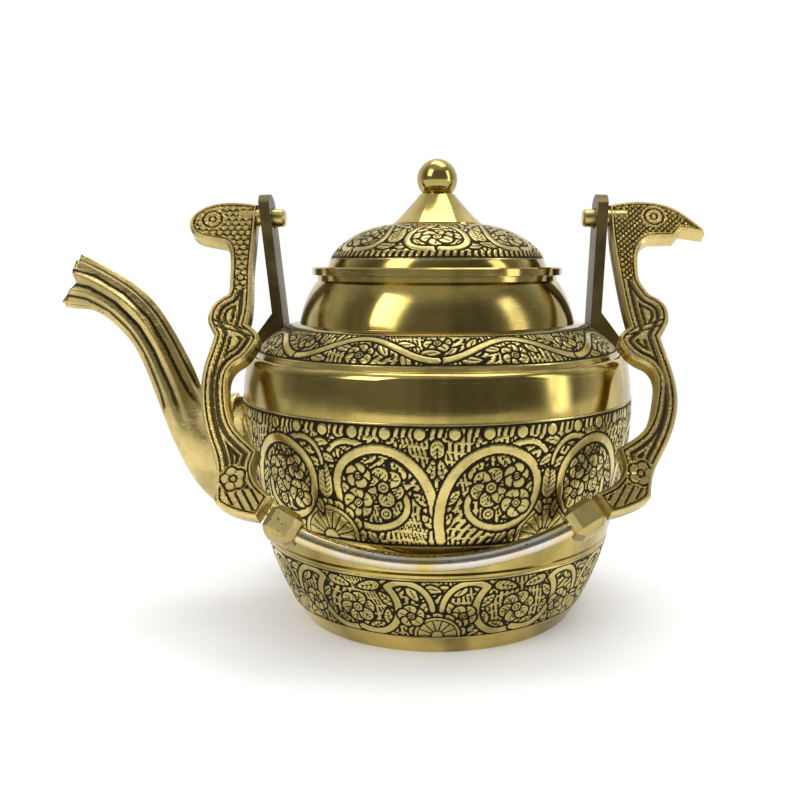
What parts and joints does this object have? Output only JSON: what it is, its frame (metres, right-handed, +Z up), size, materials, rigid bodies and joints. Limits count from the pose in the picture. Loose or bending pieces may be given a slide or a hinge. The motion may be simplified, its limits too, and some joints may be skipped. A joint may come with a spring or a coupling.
{
  "type": "teapot",
  "caption": "Round brass teapot with a domed lift-off lid, a fluted gooseneck spout and a swinging bail of two curved cast arms joined by a round grip bar.",
  "frame": {"origin": "centre of the foot's flat underside, on the pot's turning axis", "axes": "+Z up along the pot's axis; the spout points along -X; the bail turns about an axis along X and lies forward, towards -Y, at rest"},
  "size_m": [0.2473, 0.1513, 0.1755],
  "materials": {
    "polished_brass": "polished",
    "engraved_brass": "engraved, dark in the recesses",
    "cast_brass": "satin cast",
    "aged_brass": "dull, filed",
    "bright_metal": "worn bright"
  },
  "bodies": {
    "pot": {"base_disc": "polished_brass", "foot_ring": "polished_brass", "lower_bowl": "engraved_brass", "belly_shell": "engraved_brass", "rim_bead": "polished_brass", "shoulder_plate": "engraved_brass", "neck_dome": "polished_brass", "neck_ledge": "polished_brass", "mouth_lip": "polished_brass", "spout": "cast_brass", "left_ear": "aged_brass", "right_ear": "aged_brass", "ear_rivets": "aged_brass"},
    "lid": {"lid_flange": "polished_brass", "lid_dome": "engraved_brass", "lid_collar": "polished_brass", "knob_cone": "polished_brass", "knob_ball": "polished_brass", "knob_nut": "aged_brass"},
    "bail": {"left_arm": "cast_brass", "right_arm": "cast_brass", "left_pivot_pin": "polished_brass", "right_pivot_pin": "polished_brass", "left_end_block": "cast_brass", "right_end_block": "cast_brass", "grip_bar": "bright_metal"}
  },
  "joints": [
    {"name": "bail_swing", "type": "hinge", "parent": "pot", "child": "bail", "pos_m": [0, 0, 0.1531], "axis": [-1, 0, 0], "range_deg": [0, 294.8]},
    {"name": "lid_lift", "type": "slide", "parent": "pot", "child": "lid", "axis": [0, 0, 1], "range_m": [0, 0.06]}
  ]
}
